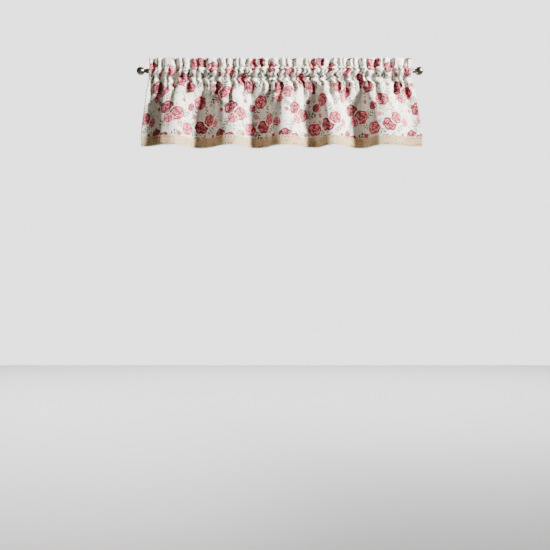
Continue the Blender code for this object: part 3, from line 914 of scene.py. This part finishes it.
def lace_template():
    """One repeat's cords as (points, radius), in millimetres: u along the border and v up from its foot."""
    cords = []
    wave = [0.0, 0.25, 0.0, -0.25, 0.0]
    for v, radius in (
        (40.6, 0.60), (36.3, 0.55), (29.0, 0.55), (25.0, 0.50), (17.2, 0.50), (13.2, 0.50), (5.4, 0.60)
    ):
        cords.append(([(3.0 * step, v + rise) for step, rise in enumerate(wave)], radius))
    # Band between the two top cords: a staggered small hole between clusters
    for u in (0.2, 1.6, 3.0, 4.4, 5.8, 10.6):
        cords.append(([(u, 40.4), (u + 0.1, 36.5)], 0.55))
    cords.append(([(6.4, 40.2), (7.6, 38.4), (6.6, 36.6)], 0.45))
    cords.append(([(10.2, 40.2), (9.2, 38.4), (10.0, 36.6)], 0.45))
    # Eyelet rows: four posts beside each open eyelet
    for top, foot in ((36.2, 29.1), (13.0, 5.6)):
        for u in (6.0, 7.55, 9.1, 10.65):
            cords.append(([(u, top), (u + 0.12, (top + foot) / 2), (u, foot)], 0.68))
        cords.append(([(5.2, top - 0.6), (4.9, (top + foot) / 2), (5.2, foot + 0.6)], 0.45))
        cords.append(([(11.6, top - 0.6), (12.0, (top + foot) / 2), (11.6, foot + 0.6)], 0.45))
    # Two close rows of posts with crossed bars between them
    for top, foot in ((28.9, 25.1), (17.1, 13.3)):
        for step in range(8):
            u = 0.6 + 1.5 * step
            cords.append(([(u, top), (u + 0.15, foot)], 0.62))
    for u in (0.0, 6.0):
        cords.append(([(u + 0.4, 17.4), (u + 5.6, 24.8)], 0.75))
        cords.append(([(u + 5.6, 17.4), (u + 0.4, 24.8)], 0.75))
        cords.append(([(u, 17.4), (u, 24.8)], 0.55))
        diamond = ((1.6, 21.1), (3.0, 23.0), (4.4, 21.1), (3.0, 19.2), (1.6, 21.1))
        cords.append(([(u + across, v) for across, v in diamond], 0.50))
    # The scalloped edge with its fan
    arc = []
    for step in range(9):
        u = -6.0 + 1.5 * step
        arc.append((u, 0.9 + 3.6 * (abs(u) / 6.0) ** 2))
    cords.append((arc, 0.72))
    for u, foot in ((-4.4, 3.0), (-2.9, 1.9), (-1.4, 1.3), (0.0, 1.1), (1.4, 1.3), (2.9, 1.9), (4.4, 3.0)):
        cords.append(([(u * 0.9, 5.3), (u, foot)], 0.50))
    for u, v in ((-3.0, 1.4), (0.0, 0.6), (3.0, 1.4)):
        cords.append(([(u - 0.8, v), (u, v - 0.9), (u + 0.8, v)], 0.40))
    return cords


def build_lace(material):
    """The lace border as fine cords that follow the hem's folds, one repeat copied along."""
    sides = 5
    points, faces = [], []
    for order, (path, radius) in enumerate(lace_template()):
        path = np.array(path, dtype=float)
        tangent = np.gradient(path, axis=0)
        tangent /= np.linalg.norm(tangent, axis=1, keepdims=True)
        across = np.stack([-tangent[:, 1], tangent[:, 0]], axis=1)
        level = 0.16 * (order % 3)
        for step, (place, normal) in enumerate(zip(path, across)):
            base = len(points)
            for side in range(sides):
                turn = 2 * math.pi * side / sides
                flat = place + normal * radius * math.cos(turn)
                points.append((flat[0], flat[1], level + CORD_FLATNESS * radius * math.sin(turn)))
            if step:
                for side in range(sides):
                    after = (side + 1) % sides
                    faces.append((base - sides + side, base - sides + after, base + after, base + side))
    points = np.array(points) / 1000
    count = len(points)
    faces = np.array(faces)
    all_points, all_faces = [], []
    curve_x, curve_y = plan_curve(HEM)
    slope_x, slope_y = np.gradient(curve_x), np.gradient(curve_y)
    size = np.hypot(slope_x, slope_y)
    normal_x, normal_y = slope_y / size, -slope_x / size
    for repeat in range(REPEATS):
        u = np.clip(points[:, 0] + repeat * PITCH, LACE_END_GAP, FLAT_WIDTH - LACE_END_GAP)
        lift = LACE_LIFT + points[:, 2]
        x = np.interp(u, COLUMN_U, curve_x) + np.interp(u, COLUMN_U, normal_x) * lift
        y = np.interp(u, COLUMN_U, curve_y) + np.interp(u, COLUMN_U, normal_y) * lift
        all_points.append(np.stack([x, y, LACE_FOOT + points[:, 1]], axis=1))
        all_faces.append(faces + repeat * count)
    return new_piece("lace_cords", np.concatenate(all_points), np.concatenate(all_faces).tolist(), [material])


def lace_material():
    material, net, shader = new_material("ecru_lace_cord", 0.92, Specular_IOR_Level=0.2, Sheen_Weight=0.2)
    place = net.node("ShaderNodeTexCoord", output=3)
    twist = net.noise(net.vector("MULTIPLY", place, (1400.0, 1400.0, 1400.0)), 1.0)
    uneven = net.noise(place, 38.0, 3.0)
    # The specks are painted shade: dark brown spots at random that stand in for the shadow seen through the
    # lace's holes
    hole_shade_specks = net.noise(place, 330.0)
    colour = net.mix(net.step(uneven, 0.3, 0.7), paint(215, 187, 138), paint(228, 213, 179))
    colour = net.mix(net.step(hole_shade_specks, 0.52, 0.66) * 0.75, colour, paint(158, 108, 56))
    colour = net.mix(net.step(twist, 0.35, 0.7) * 0.35, colour, paint(184, 142, 88))
    net.put(shader.inputs["Base Color"], colour)
    net.put(shader.inputs["Normal"], net.bump(twist, 0.7, 0.0003))
    return material


def nickel_material():
    material, net, shader = new_material(
        "brushed_nickel_fine", 0.3, Metallic=1.0, Anisotropic=0.4, Specular_Tint=(0.35, 0.33, 0.31, 1.0)
    )
    place = net.node("ShaderNodeTexCoord", output=3)
    brushed = net.noise(net.vector("MULTIPLY", place, (2600.0, 60.0, 60.0)), 1.0)
    cloudy = net.noise(place, 90.0, 3.0)
    colour = net.mix(net.step(cloudy, 0.3, 0.75), paint(132, 127, 118), paint(102, 97, 89))
    net.put(shader.inputs["Base Color"], colour)
    net.put(shader.inputs["Roughness"], net.step(brushed, 0.2, 0.8) * 0.16 + 0.22)
    net.put(shader.inputs["Normal"], net.bump(brushed, 0.15, 0.0002))
    return material


def lathe(name, profile, material, steps=64):
    """A closed turned shape about the rod's axis from (x, radius) points."""
    points, faces = [], []
    for x, radius in profile:
        for step in range(steps):
            turn = 2 * math.pi * step / steps
            points.append((x, radius * math.cos(turn), radius * math.sin(turn)))
    for ring in range(len(profile) - 1):
        for step in range(steps):
            after = (step + 1) % steps
            base = ring * steps
            faces.append((base + step, base + after, base + steps + after, base + steps + step))
    faces.append(tuple(range(steps))[::-1])
    faces.append(tuple(range((len(profile) - 1) * steps, len(profile) * steps)))
    shape = new_piece(name, np.array(points), faces, [material])
    cleaned = bmesh.new()
    cleaned.from_mesh(shape.data)
    bmesh.ops.remove_doubles(cleaned, verts=cleaned.verts, dist=1e-6)
    bmesh.ops.recalc_face_normals(cleaned, faces=cleaned.faces)
    cleaned.to_mesh(shape.data)
    cleaned.free()
    shape.data.shade_smooth()
    shape.data.set_sharp_from_angle(angle=math.radians(38))
    return shape


ROD_END = 0.528
ROD_BORE_RADIUS = 0.0072
PLUG_RADIUS = 0.0066
PLUG_START = ROD_END - 0.0137
BALL_RADIUS = 0.0165
BALL_CENTRE = ROD_END + 0.0285
BALL_RINGS = 22
NECK_RADIUS = 0.0082  # where the neck meets the ball


def build_rod(material):
    """The rod's outside with chamfered ends. A disc of the bore's radius closes each, behind the collar."""
    half = [(0.0, ROD_BORE_RADIUS), (0.0, ROD_RADIUS - 0.0001), (0.0002, ROD_RADIUS)]
    left = [(-ROD_END + x, radius) for x, radius in half]
    right = [(ROD_END - x, radius) for x, radius in half[::-1]]
    return lathe("rod_tube", left + right, material)


def build_finial(name, side, material):
    """Plug, collar, neck and ball. side is 1 for the right end and -1 for the left one."""
    profile = [(PLUG_START, 0.0001), (PLUG_START, PLUG_RADIUS), (ROD_END + 0.0003, PLUG_RADIUS)]
    # The collar: two rolled rings with a groove between them, and the flare into the neck
    for x, radius in (
        (0.0003, 0.0090), (0.0006, 0.0095), (0.0012, 0.0098), (0.0022, 0.0098), (0.0028, 0.0094),
        (0.0032, 0.0088), (0.0036, 0.0088), (0.0040, 0.0093), (0.0046, 0.0096), (0.0054, 0.0094),
        (0.0062, 0.0087), (0.0072, 0.0081), (0.0090, 0.0077), (0.0110, 0.0077),
    ):
        profile.append((ROD_END + x, radius))
    start = math.pi - math.asin(NECK_RADIUS / BALL_RADIUS)
    for step in range(BALL_RINGS + 1):
        angle = start * (1 - step / BALL_RINGS)
        radius = max(0.0, BALL_RADIUS * math.sin(angle)) + 1e-5
        profile.append((BALL_CENTRE + BALL_RADIUS * math.cos(angle), radius))
    return lathe(name, [(side * x, radius) for x, radius in profile], material)


MIDDLE = (0.0, 0.0, -0.15)
WHITE = (1.0, 1.0, 1.0)
Lamp = namedtuple("Lamp", "name place target size power colour spread")
LAMPS = [
    Lamp("key", (2.95, -1.65, 1.1), (-0.08, 0.0, -0.15), (0.6, 0.6), 65.0, (1.0, 0.98, 0.95), 46),
    Lamp("floor_wash", (0.0, 3.9, 2.8), (0.0, 3.9, 0.0), (10.0, 5.0), 640.0, WHITE, 84),
    Lamp("front_floor_wash", (0.0, -5.2, 2.8), (0.0, -5.2, 0.0), (9.0, 3.0), 160.0, WHITE, 50),
    Lamp("fill", (-2.0, -1.9, -0.2), MIDDLE, (1.6, 1.6), 4.5, (1.0, 0.58, 0.30), 180),
    Lamp("back", (0.4, 2.4, 1.0), MIDDLE, (1.6, 1.6), 60.0, WHITE, 180),
]
FLOOR_HALF = 6.0
FLOOR_LEVEL = -1.95


def area_light(row):
    data = bpy.data.lights.new(row.name, "AREA")
    data.spread = math.radians(row.spread)
    data.shape = "RECTANGLE"
    data.size, data.size_y = row.size
    data.energy = row.power
    data.color = row.colour
    lamp = bpy.data.objects.new(row.name, data)
    lamp.location = row.place
    lamp.rotation_euler = (Vector(row.target) - Vector(row.place)).to_track_quat("-Z", "Y").to_euler()
    bpy.context.scene.collection.objects.link(lamp)


def studio():
    """A pale floor, a pale surround, and the lamps: a soft key from the right front and a weak warm fill."""
    mesh = bpy.data.meshes.new("floor")
    corners = [(x * FLOOR_HALF, y * FLOOR_HALF, FLOOR_LEVEL) for x, y in ((-1, -1), (1, -1), (1, 1), (-1, 1))]
    mesh.from_pydata(corners, [], [(0, 1, 2, 3)])
    floor = bpy.data.objects.new("floor", mesh)
    material, _, shader = new_material("pale_floor", 0.9)
    shader.inputs["Base Color"].default_value = (0.60, 0.60, 0.60, 1.0)
    mesh.materials.append(material)
    bpy.context.scene.collection.objects.link(floor)

    # The backdrop is pale all round. What the room sheds on the valance is dimmer, and dimmest in front.
    world = bpy.data.worlds.new("pale_room")
    world.use_nodes = True
    net = Net(world.node_tree)
    _, depth, _ = net.split(net.node("ShaderNodeTexCoord", output=0))
    shed = net.mix(net.step(depth, 0.2, 0.8), (0.050, 0.046, 0.040, 1.0), (0.50, 0.50, 0.50, 1.0))
    seen = net.node("ShaderNodeLightPath")
    surround = world.node_tree.nodes["Background"]
    net.put(surround.inputs["Color"], net.mix(seen, shed, (2.6, 2.6, 2.6, 1.0)))
    bpy.context.scene.world = world
    for row in LAMPS:
        area_light(row)


CAMERA_DISTANCE = 2.8
PICTURE_WIDTH = 550 * 0.004  # at 4 mm of the rod's plane to a pixel
SENSOR_WIDTH = 36.0


def camera():
    """Level with the middle of the picture, which lies well below the valance."""
    data = bpy.data.cameras.new("camera")
    data.sensor_width = SENSOR_WIDTH
    data.lens = SENSOR_WIDTH * CAMERA_DISTANCE / PICTURE_WIDTH
    data.clip_end = 50.0
    eye = bpy.data.objects.new("camera", data)
    eye.location = (-0.0194, -CAMERA_DISTANCE, -0.816)
    eye.rotation_euler = (math.radians(90), 0.0, 0.0)
    bpy.context.scene.collection.objects.link(eye)
    bpy.context.scene.camera = eye


def main():
    cloth = build_cloth(cloth_materials())
    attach(cloth, "root")
    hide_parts("valance_cloth")

    lace = build_lace(lace_material())
    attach(lace, "root")
    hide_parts("lace_border")

    nickel = nickel_material()
    tube = build_rod(nickel)
    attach(tube, "root")
    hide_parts("curtain_rod")
    for side, node in ((-1, "finial_left"), (1, "finial_right")):
        finial = build_finial(node + "_turned", side, nickel)
        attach(finial, "root")
        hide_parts(node)

    studio()
    camera()


main()
